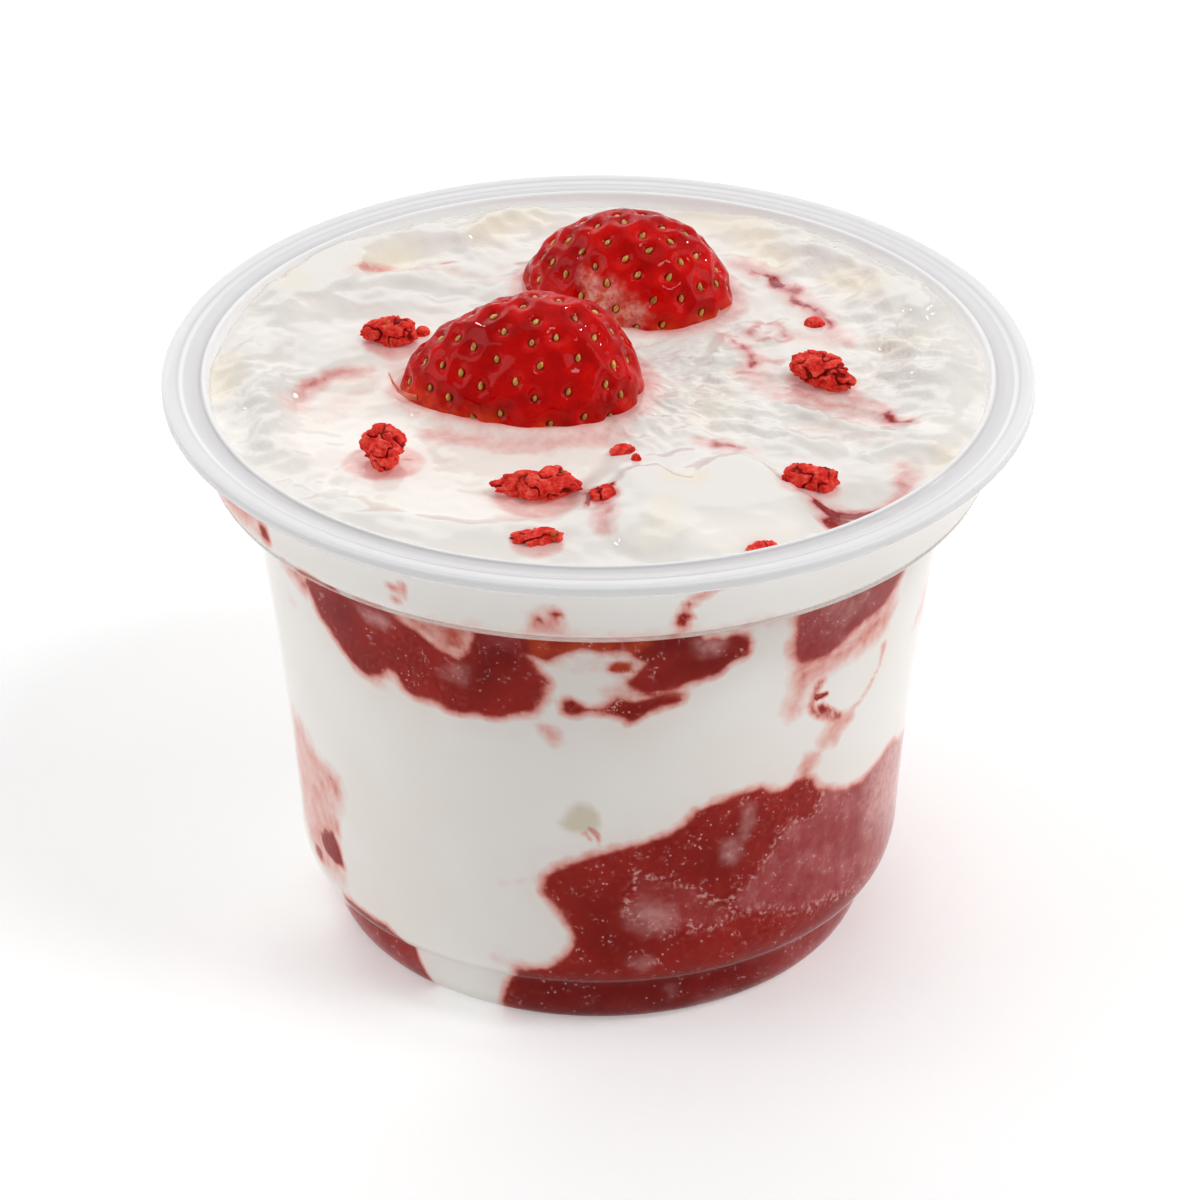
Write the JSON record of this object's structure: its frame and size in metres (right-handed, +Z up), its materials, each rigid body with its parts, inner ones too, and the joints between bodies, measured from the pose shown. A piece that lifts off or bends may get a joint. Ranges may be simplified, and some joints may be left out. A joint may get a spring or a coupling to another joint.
{
  "type": "ice cream cup",
  "caption": "Clear plastic dessert cup with a stepped shoulder and rolled flange, filled to the brim with strawberry ripple ice cream and topped with strawberry halves and dried pieces.",
  "frame": {"origin": "centre of the foot ring, on the surface the cup stands on", "axes": "+Z up along the cup's axis, -Y towards the front, where the near strawberry half and most dried pieces lie, +X to the right"},
  "size_m": [0.095, 0.095, 0.0758],
  "materials": {
    "cup_plastic": "thin clear moulded plastic, slightly milky, glossy",
    "ice_cream": "moist milk ice cream, marbled with strawberry sauce",
    "strawberry": "glazed strawberry skin with seeds, wet gloss",
    "dried_strawberry": "rough dried strawberry, matt"
  },
  "bodies": {
    "root": {"cup": "cup_plastic", "ice_cream": "ice_cream", "strawberry_front": "strawberry", "strawberry_back": "strawberry", "dried_piece_1": "dried_strawberry", "dried_piece_2": "dried_strawberry", "dried_piece_3": "dried_strawberry", "dried_piece_4": "dried_strawberry", "dried_piece_5": "dried_strawberry", "dried_piece_6": "dried_strawberry", "dried_piece_7": "dried_strawberry", "dried_piece_8": "dried_strawberry"}
  },
  "joints": []
}
